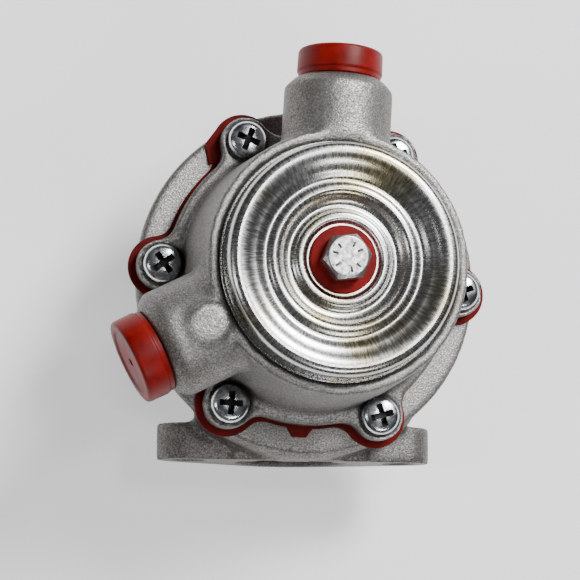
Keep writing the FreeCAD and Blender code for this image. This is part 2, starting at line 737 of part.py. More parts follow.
# ---------------------------------------------------------------- levers and pivot
def levers():
    pin_place = ("0", "pivot_y", "pivot_z")
    finish(along_x("pin_r", "pin_half", pin_place), "pivot_pin")
    plugs = [
        cylinder("pin_plug_r", "pin_plug_thick", (start, "pivot_y", "pivot_z"), (0, 1, 0), angle)
        for start, angle in (("pin_half + 2 * seat_gap", "90"), ("-pin_half - 2 * seat_gap", "-90"))
    ]
    finish(group(plugs, "pin_plugs"), "pin_plugs")

    # rocker: hub, arm out to the pad behind the flange, toe over the link
    run = "(pivot_y - pad_y)"
    rise = "(pad_z - pivot_z)"
    reach = "sqrt(%s ^ 2 + %s ^ 2)" % (run, rise)
    hub = along_x("rocker_hub_r", "rocker_half", pin_place)
    arm = block(("2 * rocker_half", reach, "arm_thick"), ("-rocker_half", "0", "-arm_thick / 2"))
    arm_placed = group([arm], "rocker_arm")
    place(arm_placed, ("0", "pad_y", "pad_z"), (-1, 0, 0), "atan(%s / %s) / 1 deg" % (rise, run))
    pad_nose = along_x("pad_r", "pad_half", ("0", "pad_y", "pad_z"))
    toe_low = "pivot_z + link_thick / 2 + 2 * free_gap"
    toe = block(("2 * rocker_half", "toe_reach", "toe_thick"), ("-rocker_half", "pivot_y", toe_low))
    heel = block(("2 * rocker_half", "link_web_start - 2 * free_gap", "link_thick + toe_thick"),
                 ("-rocker_half", "pivot_y", "pivot_z - link_thick / 2"))
    bore = along_x("pin_r + running_gap", "pad_half + 1", pin_place)
    finish(cut(joined([hub, arm_placed, pad_nose, toe, heel]), [bore], "rocker_lever"), "rocker_lever")

    # link: a cheek on each side of the rocker, a web under its toe, a fork round the pull rod
    inner = "rocker_half + free_gap"
    outer = "rocker_half + free_gap + link_wall"
    link_low = "pivot_z - link_thick / 2"
    cheeks = [cut(along_x("link_hub_r", outer, pin_place), [along_x("link_hub_r + 1", inner, pin_place)])]
    cheeks += [block(("link_wall", "link_web_start + 1", "link_thick"), (start, "pivot_y", link_low))
               for start in (inner, "-(%s)" % outer)]
    web_y = "pivot_y + link_web_start"
    web_length = axis_reach + " - pivot_y - link_web_start + link_overhang"
    web = block(("2 * (%s)" % outer, web_length, "link_thick"), ("-(%s)" % outer, web_y, link_low))
    slot_half = "rod_r + fork_side_gap"
    slot_start = axis_reach + " - rod_r - fork_gap"
    slot_length = "rod_r + fork_gap + link_overhang + 1"
    slot = block(("2 * (%s)" % slot_half, slot_length, "link_thick + 2"),
                 ("-(%s)" % slot_half, slot_start, link_low + " - 1"))
    bore = along_x("pin_r + running_gap", outer + " + 1", pin_place)
    finish(cut(joined(cheeks + [web]), [slot, bore], "link_lever"), "link_lever")

    spacer_start = outer + " + free_gap"
    wall_x = "sqrt((house_r - house_wall) ^ 2 - (lobe_drop + pivot_z - spacer_r) ^ 2)"
    spacer_length = "%s - (%s) - free_gap" % (wall_x, spacer_start)
    spacers = []
    for sign, angle in (("", "90"), ("-", "-90")):
        at = ("%s(%s)" % (sign, spacer_start), "pivot_y", "pivot_z")
        spacers.append(cut(cylinder("spacer_r", spacer_length, at, (0, 1, 0), angle),
                           [along_x("pin_r + running_gap", "house_r", pin_place)]))
    finish(group(spacers, "pivot_spacers"), "pivot_spacers")

    floor = "-lobe_drop - sqrt((house_r - house_wall) ^ 2 - return_seat_half ^ 2) + contact_gap"
    finish(coil("rocker_spring", "return_spring_r", "return_wire_r", "return_spring_pitch",
                floor, "pivot_z - link_thick / 2 - contact_gap", ("0", "pivot_y + return_spring_arm", "0")),
           "rocker_spring")


# ---------------------------------------------------------------- valves
def valve(name, at, axis, angle):
    """Seat, disc, spring and cage of one valve; its own +Z is the way the fuel goes."""
    disc_low = "valve_seat_thick + contact_gap"
    disc_top = disc_low + " + valve_disc_thick"
    cage_top = "valve_seat_thick + valve_cage_high"
    seat_ring = ring(name + "_turned_seat", "valve_hole_r", "valve_r", "0", "valve_seat_thick")
    disc = cylinder("valve_disc_r", "valve_disc_thick", ("0", "0", disc_low))
    spring = coil(name + "_wire", "valve_spring_r", "valve_wire_r", "valve_spring_pitch",
                  disc_top + " + contact_gap", cage_top + " - valve_roof - contact_gap")
    shell = turned(name + "_shell", [
        ("valve_r", "valve_seat_thick"),
        ("valve_r", cage_top),
        ("0", cage_top),
        ("0", cage_top + " - valve_roof"),
        ("valve_r - valve_wall", cage_top + " - valve_roof"),
        ("valve_r - valve_wall", "valve_seat_thick"),
    ])
    vent_low = cage_top + " - valve_roof - 1"
    vents = [cylinder("valve_vent_r", "valve_roof + 2", spot("valve_vent_place", step, vent_low))
             for step in head_angles]
    cage = cut(shell, vents, name + "_vented_cage")
    for item, label in ((seat_ring, "_seat"), (disc, "_disc"), (spring, "_spring"), (cage, "_cage")):
        standing = group([item], name + label + "_standing")
        place(standing, at, axis, angle)
        finish(group([standing], name + label), name + label, head=True)


lower_body()
upper_body()
cover_group()
port_plugs()
body_screws()
diaphragm_stack()
levers()
valve("outlet_valve", ("0", "outlet_valve_place", "deck_low + valve_set_in"), (1, 0, 0), "0")
valve("inlet_valve", ("0", "-inlet_valve_place", "deck_high - valve_set_in"), (1, 0, 0), "180")
doc.recompute()

for item in doc.Objects:
    if "Invalid" in item.State or "Error" in item.State:
        raise RuntimeError("%s (%s) failed: %s" % (item.Label, item.Name, item.State))
for item in parts:
    if item.Shape.isNull() or not item.Shape.isValid():
        raise RuntimeError("%s has no valid shape" % item.Label)

os.makedirs("parts", exist_ok=True)
for item in parts:
    item.Shape.exportStep(os.path.join("parts", item.Label + ".step"))
    print("%-24s %2d solid(s) %10.1f mm3" % (item.Label, len(item.Shape.Solids), item.Shape.Volume))
print("%d sub-parts" % len(parts))
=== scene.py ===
import json
import math
import bpy
from mathutils import Matrix, Vector


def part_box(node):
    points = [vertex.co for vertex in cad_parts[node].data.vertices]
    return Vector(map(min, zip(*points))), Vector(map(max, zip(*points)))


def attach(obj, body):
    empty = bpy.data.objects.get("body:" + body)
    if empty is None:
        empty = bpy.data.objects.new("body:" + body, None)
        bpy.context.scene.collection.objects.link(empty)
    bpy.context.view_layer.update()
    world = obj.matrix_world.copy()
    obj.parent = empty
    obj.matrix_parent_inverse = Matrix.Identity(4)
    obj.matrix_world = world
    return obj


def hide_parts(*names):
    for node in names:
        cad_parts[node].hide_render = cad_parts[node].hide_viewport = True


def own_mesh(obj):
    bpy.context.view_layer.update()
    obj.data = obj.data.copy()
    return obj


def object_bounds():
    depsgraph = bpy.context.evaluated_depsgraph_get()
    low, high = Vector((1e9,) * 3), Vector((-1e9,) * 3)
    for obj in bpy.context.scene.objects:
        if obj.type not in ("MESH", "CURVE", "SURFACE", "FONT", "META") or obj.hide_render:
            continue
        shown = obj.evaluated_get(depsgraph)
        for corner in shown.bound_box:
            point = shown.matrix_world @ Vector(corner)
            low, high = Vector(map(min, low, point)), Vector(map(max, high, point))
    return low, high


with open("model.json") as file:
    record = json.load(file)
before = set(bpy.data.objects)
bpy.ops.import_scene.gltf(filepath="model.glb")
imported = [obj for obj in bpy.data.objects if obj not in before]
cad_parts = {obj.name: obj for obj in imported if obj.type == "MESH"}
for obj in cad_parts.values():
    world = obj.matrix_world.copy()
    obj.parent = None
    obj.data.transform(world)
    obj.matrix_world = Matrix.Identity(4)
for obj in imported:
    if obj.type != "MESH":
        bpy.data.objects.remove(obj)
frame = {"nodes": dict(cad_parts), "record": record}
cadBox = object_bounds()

mm = 0.001

# where things are: the head's axis, the joint face and the way the outlet points
coverLow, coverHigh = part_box("top_cover")
headX = (coverLow.x + coverHigh.x) / 2
headY = (coverLow.y + coverHigh.y) / 2
coverTop = coverHigh.z
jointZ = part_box("diaphragm")[0].z
mounts = {mount["name"]: mount for mount in frame["record"]["mounts"]}
outletWay = Vector(mounts["outlet_port"]["axis"])
headTurn = math.atan2(outletWay.y, outletWay.x) - math.radians(90)
headSpot = Vector((headX, headY, jointZ))


def deselectAll():
    if bpy.context.object and bpy.context.object.mode != "OBJECT":
        bpy.ops.object.mode_set(mode="OBJECT")
    bpy.ops.object.select_all(action="DESELECT")


def pick(obj):
    deselectAll()
    obj.select_set(True)
    bpy.context.view_layer.objects.active = obj


def applyModifier(obj, kind, **settings):
    pick(obj)
    modifier = obj.modifiers.new(kind.title(), kind)
    for key, value in settings.items():
        setattr(modifier, key, value)
    bpy.ops.object.modifier_apply(modifier=modifier.name)


def settle(obj, angle=35):
    # place and turn go into the mesh, then soft shading up to the given angle
    pick(obj)
    bpy.ops.object.transform_apply(location=True, rotation=True, scale=True)
    bpy.ops.object.shade_smooth_by_angle(angle=math.radians(angle))


def tidyMesh(obj, gap=1e-6):
    pick(obj)
    bpy.ops.object.mode_set(mode="EDIT")
    bpy.ops.mesh.select_all(action="SELECT")
    bpy.ops.mesh.remove_doubles(threshold=gap)
    bpy.ops.mesh.normals_make_consistent(inside=False)
    bpy.ops.object.mode_set(mode="OBJECT")


def rounded(corners, steps=4):
    # corners are (radius, height, blend); each blend is a short curve from run to run
    line = []
    for index, (radius, height, blend) in enumerate(corners):
        here = Vector((radius, height))
        if blend == 0 or index in (0, len(corners) - 1):
            line.append(here)
            continue
        before = Vector(corners[index - 1][:2])
        after = Vector(corners[index + 1][:2])
        start = here + (before - here).normalized() * blend
        end = here + (after - here).normalized() * blend
        for step in range(steps + 1):
            share = step / steps
            line.append((1 - share) ** 2 * start + 2 * share * (1 - share) * here + share ** 2 * end)
    return line


def turnedPiece(name, corners, sides=96, steps=4, shell=False):
    # a ring of edges drawn up ring by ring about Z at the origin, in millimetres
    line = rounded(corners, steps)
    first = line[0]
    deselectAll()
    bpy.ops.mesh.primitive_circle_add(vertices=sides, radius=first.x * mm, location=(0, 0, first.y * mm))
    obj = bpy.context.object
    obj.name = name
    bpy.ops.object.transform_apply(location=True)
    bpy.ops.object.mode_set(mode="EDIT")
    bpy.ops.mesh.select_all(action="SELECT")
    if shell:
        line.append(first)  # the outline comes back to where it began
    else:
        bpy.ops.mesh.edge_face_add()
    last = first
    for spot in line[1:]:
        bpy.ops.mesh.extrude_region_move(TRANSFORM_OT_translate={"value": (0, 0, (spot.y - last.y) * mm)})
        if spot.x == 0:
            bpy.ops.mesh.merge(type="CENTER")
            break
        share = spot.x / last.x
        bpy.ops.transform.resize(value=(share, share, 1), center_override=(0, 0, spot.y * mm))
        last = spot
    tidyMesh(obj)
    return obj


def stand(obj, spot, way=Vector((0, 0, 1)), turn=0.0):
    upright = way.to_track_quat("Z", "Y").to_matrix().to_4x4()
    obj.matrix_world = Matrix.Translation(spot) @ upright @ Matrix.Rotation(turn, 4, "Z")
    bpy.context.view_layer.update()


def finished(obj, material, slotName, body, *nodes, angle=35):
    settle(obj, angle)
    obj.data.materials.clear()
    obj.data.materials.append(material)
    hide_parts(*nodes)
    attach(obj, body)


def nodeCopy(name, node):
    # the CAD solid's loose triangles, merged into one closed mesh of its own
    obj = bpy.data.objects.new(name, frame["nodes"][node].data.copy())
    bpy.context.scene.collection.objects.link(obj)
    pick(obj)
    bpy.ops.object.mode_set(mode="EDIT")
    bpy.ops.mesh.select_all(action="SELECT")
    bpy.ops.mesh.remove_doubles(threshold=2e-6)
    bpy.ops.object.mode_set(mode="OBJECT")
    return obj


def newMaterial(name, **settings):
    material = bpy.data.materials.new(name)
    material.use_nodes = True
    shader = material.node_tree.nodes["Principled BSDF"]
    for key, value in settings.items():
        shader.inputs[key.replace("_", " ")].default_value = value
    return material, material.node_tree.nodes, material.node_tree.links, shader


def ownPlace(nodes):
    return nodes.new("ShaderNodeTexCoord").outputs["Object"]


def noiseOn(nodes, links, place, scale, detail=2.0, roughness=0.5):
    noise = nodes.new("ShaderNodeTexNoise")
    noise.inputs["Scale"].default_value = scale
    noise.inputs["Detail"].default_value = detail
    noise.inputs["Roughness"].default_value = roughness
    links.new(place, noise.inputs["Vector"])
    return noise.outputs["Fac"]


def rampOn(nodes, links, value, stops):
    ramp = nodes.new("ShaderNodeValToRGB")
    elements = ramp.color_ramp.elements
    while len(elements) < len(stops):
        elements.new(0.5)
    for element, (place, colour) in zip(elements, stops):
        element.position = place
        element.color = (*colour, 1) if len(colour) == 3 else colour
    links.new(value, ramp.inputs["Fac"])
    return ramp.outputs["Color"]


def blendOn(nodes, links, share, first, second, mode="MIX"):
    mix = nodes.new("ShaderNodeMix")
    mix.data_type = "RGBA"
    mix.blend_type = mode
    for value, socket in ((share, mix.inputs["Factor"]), (first, mix.inputs["A"]), (second, mix.inputs["B"])):
        if isinstance(value, (float, int)):
            socket.default_value = value
        elif isinstance(value, tuple):
            socket.default_value = (*value, 1)
        else:
            links.new(value, socket)
    return mix.outputs["Result"]


def sumOn(nodes, links, kind, first, second):
    node = nodes.new("ShaderNodeMath")
    node.operation = kind
    for value, socket in ((first, node.inputs[0]), (second, node.inputs[1])):
        if isinstance(value, (float, int)):
            socket.default_value = value
        else:
            links.new(value, socket)
    return node.outputs["Value"]


def bumpOn(nodes, links, shader, height, strength, depth):
    bump = nodes.new("ShaderNodeBump")
    bump.inputs["Strength"].default_value = strength
    bump.inputs["Distance"].default_value = depth
    links.new(height, bump.inputs["Height"])
    links.new(bump.outputs["Normal"], shader.inputs["Normal"])


def grey(level, warm=0.0):
    return (level * (1 + warm), level, level * (1 - warm))


def glossOn(nodes, links, shader, value, *stops):
    # each stop is (place, roughness)
    ramp = rampOn(nodes, links, value, [(place, grey(level)) for place, level in stops])
    links.new(ramp, shader.inputs["Roughness"])


def castAluminium():
    look = dict(dark=0.13, light=0.29, spark=0.56, grains=2400, patches=90, pits=600)
    material, nodes, links, shader = newMaterial("castAluminium", Metallic=0.88, Roughness=0.46)
    place = ownPlace(nodes)
    patches = noiseOn(nodes, links, place, look["patches"], 4.0, 0.6)
    grains = noiseOn(nodes, links, place, look["grains"], 3.0, 0.65)
    pits = noiseOn(nodes, links, place, look["pits"], 2.0, 0.5)
    tone = rampOn(nodes, links, grains, [(0.30, grey(look["dark"], 0.02)), (0.52, grey(look["light"], 0.02)),
                                         (0.72, grey(look["spark"], 0.01))])
    worn = rampOn(nodes, links, patches, [(0.32, grey(0.80, 0.03)), (0.62, grey(1.0, 0.0))])
    # painted light and shade: upright walls are painted darker and faces that look up are painted brighter
    paintedLightAttribute = nodes.new("ShaderNodeAttribute")
    paintedLightAttribute.attribute_name = "paintedLightFacing"
    paintedLightAndShade = rampOn(nodes, links, paintedLightAttribute.outputs["Fac"], [(0.0, grey(0.52, 0.03)), (0.35, grey(0.58, 0.03)),
                                                        (0.70, grey(0.80, 0.02)), (0.97, grey(1.25))])
    tone = blendOn(nodes, links, 1.0, tone, worn, "MULTIPLY")
    links.new(blendOn(nodes, links, 1.0, tone, paintedLightAndShade, "MULTIPLY"), shader.inputs["Base Color"])
    glossOn(nodes, links, shader, grains, (0.35, 0.60), (0.7, 0.34))
    height = sumOn(nodes, links, "ADD", grains, sumOn(nodes, links, "MULTIPLY", pits, 0.8))
    bumpOn(nodes, links, shader, height, 0.55, 0.00022)
    return material


def ringPlace(nodes, links, centre, across, along):
    # coordinates round an upright axis: arc length, radius and height, each with its own stretch
    shift = nodes.new("ShaderNodeMapping")
    shift.inputs["Location"].default_value = (-centre.x, -centre.y, 0)
    links.new(ownPlace(nodes), shift.inputs["Vector"])
    parts = nodes.new("ShaderNodeSeparateXYZ")
    links.new(shift.outputs["Vector"], parts.inputs["Vector"])
    angle = sumOn(nodes, links, "ARCTAN2", parts.outputs["Y"], parts.outputs["X"])
    squares = sumOn(nodes, links, "ADD", sumOn(nodes, links, "POWER", parts.outputs["X"], 2.0),
                    sumOn(nodes, links, "POWER", parts.outputs["Y"], 2.0))
    radius = sumOn(nodes, links, "SQRT", squares, 0.0)
    joinedUp = nodes.new("ShaderNodeCombineXYZ")
    links.new(sumOn(nodes, links, "MULTIPLY", angle, across), joinedUp.inputs["X"])
    links.new(sumOn(nodes, links, "MULTIPLY", radius, along), joinedUp.inputs["Y"])
    links.new(sumOn(nodes, links, "MULTIPLY", parts.outputs["Z"], along), joinedUp.inputs["Z"])
    return joinedUp.outputs["Vector"]


def platedSteel():
    look = dict(bright=(0.58, 0.58, 0.57), warm=(0.40, 0.36, 0.23), dull=(0.34, 0.33, 0.31))
    material, nodes, links, shader = newMaterial("platedSteel", Metallic=1.0, Roughness=0.24)
    place = ownPlace(nodes)
    drawn = noiseOn(nodes, links, ringPlace(nodes, links, headSpot, 0.024, 0.16), 2200, 3.0, 0.6)
    spun = noiseOn(nodes, links, ringPlace(nodes, links, headSpot, 0.0015, 1.0), 1500, 2.0, 0.5)
    stains = noiseOn(nodes, links, place, 45, 3.0, 0.55)
    tone = rampOn(nodes, links, stains, [(0.36, look["warm"]), (0.50, look["bright"]),
                                         (0.75, look["bright"])])
    links.new(blendOn(nodes, links, rampOn(nodes, links, drawn, [(0.52, grey(0.0)), (0.8, grey(0.55))]),
                      tone, look["dull"]), shader.inputs["Base Color"])
    glossOn(nodes, links, shader, drawn, (0.35, 0.20), (0.7, 0.33))
    height = sumOn(nodes, links, "ADD", drawn, sumOn(nodes, links, "MULTIPLY", spun, 0.4))
    bumpOn(nodes, links, shader, height, 0.16, 0.00004)
    return material


def zincSteel():
    material, nodes, links, shader = newMaterial("zincSteel", Metallic=1.0, Roughness=0.22)
    place = ownPlace(nodes)
    bloom = noiseOn(nodes, links, place, 420, 3.0, 0.6)
    fine = noiseOn(nodes, links, place, 3200, 2.0, 0.5)
    links.new(rampOn(nodes, links, bloom, [(0.30, (0.50, 0.55, 0.62)), (0.55, (0.74, 0.77, 0.80)),
                                           (0.80, (0.82, 0.82, 0.80))]), shader.inputs["Base Color"])
    glossOn(nodes, links, shader, bloom, (0.3, 0.16), (0.75, 0.34))
    bumpOn(nodes, links, shader, fine, 0.25, 0.00006)
    return material


def boltSteel():
    material, nodes, links, shader = newMaterial("boltSteel", Metallic=1.0, Roughness=0.3)
    place = ownPlace(nodes)
    scuffs = noiseOn(nodes, links, place, 900, 4.0, 0.7)
    links.new(rampOn(nodes, links, scuffs, [(0.34, grey(0.16)), (0.5, grey(0.50, 0.01)), (0.70, grey(0.74))]),
              shader.inputs["Base Color"])
    glossOn(nodes, links, shader, scuffs, (0.35, 0.46), (0.7, 0.24))
    bumpOn(nodes, links, shader, scuffs, 0.5, 0.00010)
    return material


def redPlastic():
    material, nodes, links, shader = newMaterial("redPlastic", Roughness=0.5, Subsurface_Weight=0.06,
                                                 Subsurface_Scale=0.002, Specular_IOR_Level=0.22)
    place = ownPlace(nodes)
    cloud = noiseOn(nodes, links, place, 150, 4.0, 0.6)
    fine = noiseOn(nodes, links, place, 1800, 2.0, 0.5)
    links.new(rampOn(nodes, links, cloud, [(0.30, (0.11, 0.0015, 0.001)), (0.55, (0.21, 0.003, 0.002)),
                                           (0.80, (0.29, 0.006, 0.004))]), shader.inputs["Base Color"])
    glossOn(nodes, links, shader, cloud, (0.3, 0.34), (0.7, 0.52))
    bumpOn(nodes, links, shader, fine, 0.22, 0.00008)
    return material


def redSheet(name, deep, light, weave):
    material, nodes, links, shader = newMaterial(name, Roughness=0.65, Specular_IOR_Level=0.18)
    place = ownPlace(nodes)
    cloud = noiseOn(nodes, links, place, 220, 3.0, 0.6)
    threads = noiseOn(nodes, links, place, weave, 2.0, 0.5)
    links.new(rampOn(nodes, links, cloud, [(0.3, deep), (0.7, light)]), shader.inputs["Base Color"])
    glossOn(nodes, links, shader, threads, (0.3, 0.52), (0.7, 0.72))
    bumpOn(nodes, links, shader, threads, 0.4, 0.00010)
    return material


def plainLook(name, dark, light, metallic, smooth, rough, scale, depth):
    # steels, brasses, rubber and moulded pieces: a clouded colour, its own gloss and a fine grain
    material, nodes, links, shader = newMaterial(name, Metallic=metallic, Roughness=rough)
    place = ownPlace(nodes)
    cloud = noiseOn(nodes, links, place, scale / 6, 4.0, 0.6)
    fine = noiseOn(nodes, links, place, scale, 2.0, 0.55)
    links.new(rampOn(nodes, links, cloud, [(0.32, dark), (0.68, light)]), shader.inputs["Base Color"])
    glossOn(nodes, links, shader, fine, (0.3, smooth), (0.7, rough))
    bumpOn(nodes, links, shader, fine, 0.3, depth)
    return material


def gauzeLook():
    # woven wire: two crossed waves of fine wires
    material, nodes, links, shader = newMaterial("brassGauze", Metallic=1.0, Roughness=0.35)
    place = ownPlace(nodes)
    heights = []
    for direction in ("X", "Y"):
        wave = nodes.new("ShaderNodeTexWave")
        wave.bands_direction = direction
        wave.inputs["Scale"].default_value = 520
        links.new(place, wave.inputs["Vector"])
        heights.append(wave.outputs["Fac"])
    wires = sumOn(nodes, links, "MAXIMUM", heights[0], heights[1])
    links.new(rampOn(nodes, links, wires, [(0.55, (0.05, 0.035, 0.015)), (0.9, (0.72, 0.55, 0.26))]),
              shader.inputs["Base Color"])
    bumpOn(nodes, links, shader, wires, 0.8, 0.0002)
    return material


aluminium = castAluminium()
steelCover = platedSteel()
zinc = zincSteel()
bolt = boltSteel()
stampedSteel = plainLook("stampedSteel", grey(0.03), grey(0.10), 0.7, 0.40, 0.60, 2200, 0.00006)
# near-black for the screws' cross recesses: painted shade in the recess
paintedRecessShade = plainLook("paintedRecessShade", grey(0.010), grey(0.05), 0.6, 0.45, 0.70, 1800, 0.00008)
capPlastic = redPlastic()
diaphragmRubber = redSheet("redDiaphragm", (0.09, 0.002, 0.0015), (0.18, 0.004, 0.003), 1400)
fibre = redSheet("redFibre", (0.13, 0.0015, 0.001), (0.26, 0.003, 0.002), 2600)
looks = {
    "cast_aluminium": aluminium,
    "plated_steel": steelCover,
    "zinc_steel": zinc,
    "red_plastic": capPlastic,
    "red_diaphragm": diaphragmRubber,
    "red_fibre": fibre,
    "dark_steel": plainLook("darkSteel", grey(0.10), grey(0.24, 0.03), 1.0, 0.28, 0.48, 1500, 0.0001),
    "spring_steel": plainLook("springSteel",
                              grey(0.26, 0.02), grey(0.50, 0.03), 1.0, 0.20, 0.36, 3000, 0.00005),
    "black_rubber": plainLook("blackRubber", grey(0.012), grey(0.035), 0.0, 0.50, 0.72, 1400, 0.0001),
    "black_plastic": plainLook("blackPlastic", grey(0.018), grey(0.045), 0.0, 0.34, 0.50, 1100, 0.0001),
    "brass_gauze": gauzeLook(),
    "valve_brass": plainLook("turnedBrass",
                             (0.48, 0.33, 0.12), (0.74, 0.56, 0.26), 1.0, 0.20, 0.38, 1600, 0.00006),
    "valve_plastic": plainLook("fibreDisc",
                               (0.05, 0.04, 0.035), (0.13, 0.10, 0.08), 0.0, 0.45, 0.65, 2000, 0.0001),
}
for part in frame["record"]["subparts"]:
    mesh = frame["nodes"][part["node"]].data
    mesh.materials.clear()
    mesh.materials.append(looks[part["material_slot"]])
print("materials ready")


# the share below lowerTop is painted shade under the joint disc
casting = dict(cell=0.8 * mm, passes=6, share=0.5, lower=0.55, lowerTop=9.5 * mm)


def castPiece(name, node):
    # edges are rounded as they come out of the mould, and the skin is one closed surface
    obj = nodeCopy(name, node)
    applyModifier(obj, "REMESH", mode="VOXEL", voxel_size=casting["cell"])
    applyModifier(obj, "SMOOTH", factor=casting["share"], iterations=casting["passes"])
    # how far each point faces up, as painted light on faces that look up and painted shade on upright walls,
    # with less of it below the joint disc as painted shade under the disc
    shade = obj.data.attributes.new("paintedLightFacing", "FLOAT", "POINT")
    shade.data.foreach_set("value", [
        max(0.0, vertex.normal.z) * (casting["lower"] if vertex.co.z < casting["lowerTop"] else 1.0)
        for vertex in obj.data.vertices])
    finished(obj, aluminium, "cast_aluminium", "root", node, angle=60)


castPiece("upperCasting", "upper_body")
castPiece("lowerCasting", "lower_body")
print("castings ready")


cover = dict(gauge=0.8, flange=28.3, wall=27.35, corner=2.4, hole=3.3, sides=128)


def pressedCover():
    top = (coverTop - jointZ) / mm
    foot = (coverLow.z - jointZ) / mm
    seat = (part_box("bolt_washer")[0].z - jointZ) / mm
    gauge = cover["gauge"]
    outside = [
        (cover["flange"], foot, 0),
        (cover["flange"], foot + gauge, 0.25),
        (cover["wall"], foot + gauge, 0.3),
        (cover["wall"], top - 0.1, cover["corner"]),
        (23.9, top - 0.1, 1.4),
        (21.9, top - 1.2, 1.0),
        (20.6, top - 1.5, 0.7),
        (18.4, top - 2.8, 1.2),
        (17.0, top - 1.9, 0.8),
        (15.4, top - 2.0, 1.0),
        (14.0, top - 3.9, 1.2),
        (12.0, top - 4.2, 0.9),
        (10.9, top - 3.1, 0.55),
        (9.4, top - 3.0, 0.5),
        (8.6, seat, 0.25),
        (cover["hole"], seat, 0),
    ]
    inside = [(radius, height - gauge, blend) for radius, height, blend in reversed(outside[4:])]
    inside += [
        (cover["wall"] - gauge, top - 0.1 - gauge, cover["corner"] - gauge),
        (cover["wall"] - gauge, foot, 0),
    ]
    obj = turnedPiece("pressedCover", outside + inside, cover["sides"], 5, shell=True)
    stand(obj, headSpot)
    finished(obj, steelCover, "plated_steel", "root", "top_cover", angle=50)


pressedCover()
print("cover ready")


hexBolt = dict(across=10.0, shankR=3.0, edge=0.9, dashes=7, dashCircle=3.1, dash=(1.3, 0.5, 0.34), turn=38)


def coverBolt():
    low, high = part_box("cover_bolt")
    headLow = (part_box("bolt_washer")[1].z - jointZ) / mm
    headHigh = (high.z - jointZ) / mm
    corner = hexBolt["across"] / math.sqrt(3)
    shankLow = (low.z - jointZ) / mm
    obj = turnedPiece("coverBolt", [
        (corner + 0.3, headLow, 0),
        (corner + 0.3, headHigh - hexBolt["edge"], 0),
        (corner - 1.15, headHigh, 0.2),
        (corner - 1.7, headHigh, 0),
    ], 72, 3)
    deselectAll()
    middle = (headLow + headHigh) / 2
    bpy.ops.mesh.primitive_cylinder_add(vertices=6, radius=corner * mm, depth=(headHigh - headLow) * 1.2 * mm,
                                        location=(0, 0, middle * mm))
    hexagon = bpy.context.object
    applyModifier(hexagon, "BEVEL", width=0.12 * mm, segments=2, limit_method="ANGLE")
    applyModifier(obj, "BOOLEAN", operation="INTERSECT", object=hexagon, solver="EXACT")
    bpy.data.objects.remove(hexagon)
    shank = turnedPiece("shank", [
        (hexBolt["shankR"] - 0.6, shankLow, 0),
        (hexBolt["shankR"], shankLow + 0.6, 0),
        (hexBolt["shankR"], headLow + 0.2, 0),
    ], 48, 2)
    pieces = [shank]
    for index in range(hexBolt["dashes"]):
        # small raised dashes round the top face
        angle = 2 * math.pi * (index + 0.3 * (index % 2)) / hexBolt["dashes"]
        deselectAll()
        bpy.ops.mesh.primitive_cube_add(size=1, location=(0, 0, 0))
        dash = bpy.context.object
        dash.scale = [side * mm for side in hexBolt["dash"]]
        bpy.ops.object.transform_apply(scale=True)
        applyModifier(dash, "BEVEL", width=0.05 * mm, segments=2)
        stand(dash, Vector((math.cos(angle) * hexBolt["dashCircle"] * mm,
                            math.sin(angle) * hexBolt["dashCircle"] * mm, headHigh * mm)), turn=angle)
        pieces.append(dash)
    pick(obj)
    for piece in pieces:
        piece.select_set(True)
    bpy.ops.object.join()
    stand(obj, headSpot, turn=math.radians(hexBolt["turn"]))
    finished(obj, bolt, "zinc_steel", "root", "cover_bolt", angle=30)
    obj.data.materials.append(stampedSteel)
    for face in obj.data.polygons:
        if face.center.z > high.z + 0.02 * mm:
            face.material_index = 1


def fibreWasher():
    low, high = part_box("bolt_washer")
    outer = (high.x - low.x) / 2 / mm
    foot, top = (low.z - jointZ) / mm, (high.z - jointZ) / mm
    obj = turnedPiece("fibreWasher", [
        (3.3, foot, 0), (outer, foot, 0.2), (outer, top, 0.3), (3.3, top, 0.2)], 72, 3, shell=True)
    stand(obj, headSpot)
    finished(obj, fibre, "red_fibre", "root", "bolt_washer")


coverBolt()
fibreWasher()
print("cover bolt ready")


screw = dict(headR=4.7, headHigh=3.0, shankR=2.5, length=15.0, circle=37.2,
             slotWide=1.7, slotLong=9.4, slotDeep=2.1, slotFoot=0.3, turns=(20, 20, -18, 40, 0, 20))


def crossCutter(top):
    # two tapered bars, wide at the top and narrow at the foot
    bars = []
    for turn in (0, 90):
        deselectAll()
        bpy.ops.mesh.primitive_cube_add(size=1, location=(0, 0, 0))
        bar = bpy.context.object
        bar.scale = (screw["slotLong"] * mm, screw["slotWide"] * mm, 2 * screw["slotDeep"] * mm)
        bpy.ops.object.transform_apply(scale=True)
        bpy.ops.object.mode_set(mode="EDIT")
        bpy.ops.mesh.select_all(action="DESELECT")
        bpy.ops.object.mode_set(mode="OBJECT")
        for vertex in bar.data.vertices:
            vertex.select = vertex.co.z < 0
        bpy.ops.object.mode_set(mode="EDIT")
        bpy.ops.transform.resize(value=(screw["slotFoot"], 0.75, 1), center_override=(0, 0, 0))
        bpy.ops.object.mode_set(mode="OBJECT")
        applyModifier(bar, "BEVEL", width=0.12 * mm, segments=2)
        stand(bar, Vector((0, 0, top * mm)), turn=math.radians(turn))
        bars.append(bar)
    return bars


def screwMaster():
    head, high, shank = screw["headR"], screw["headHigh"], screw["shankR"]
    obj = turnedPiece("bodyScrew", [
        (shank - 0.7, high - screw["length"], 0),
        (shank, high - screw["length"] + 0.7, 0),
        (shank, 0, 0.1),
        (head - 0.15, 0, 0.2),
        (head, 0.5, 0.3),
        (head, 1.5, 0.6),
        (0.86 * head, 2.45, 0.7),
        (0.5 * head, high - 0.12, 0.9),
        (0.1 * head, high, 0),
    ], 64, 4)
    # the cutter's own material marks the faces of the recess, which are painted near-black as painted shade
    # in the recess
    obj.data.materials.append(zinc)
    for bar in crossCutter(high):
        bar.data.materials.append(paintedRecessShade)
        applyModifier(obj, "BOOLEAN", operation="DIFFERENCE", object=bar, solver="EXACT",
                      material_mode="TRANSFER")
        bpy.data.objects.remove(bar)
    return obj, [face.index for face in obj.data.polygons if face.material_index == 1]


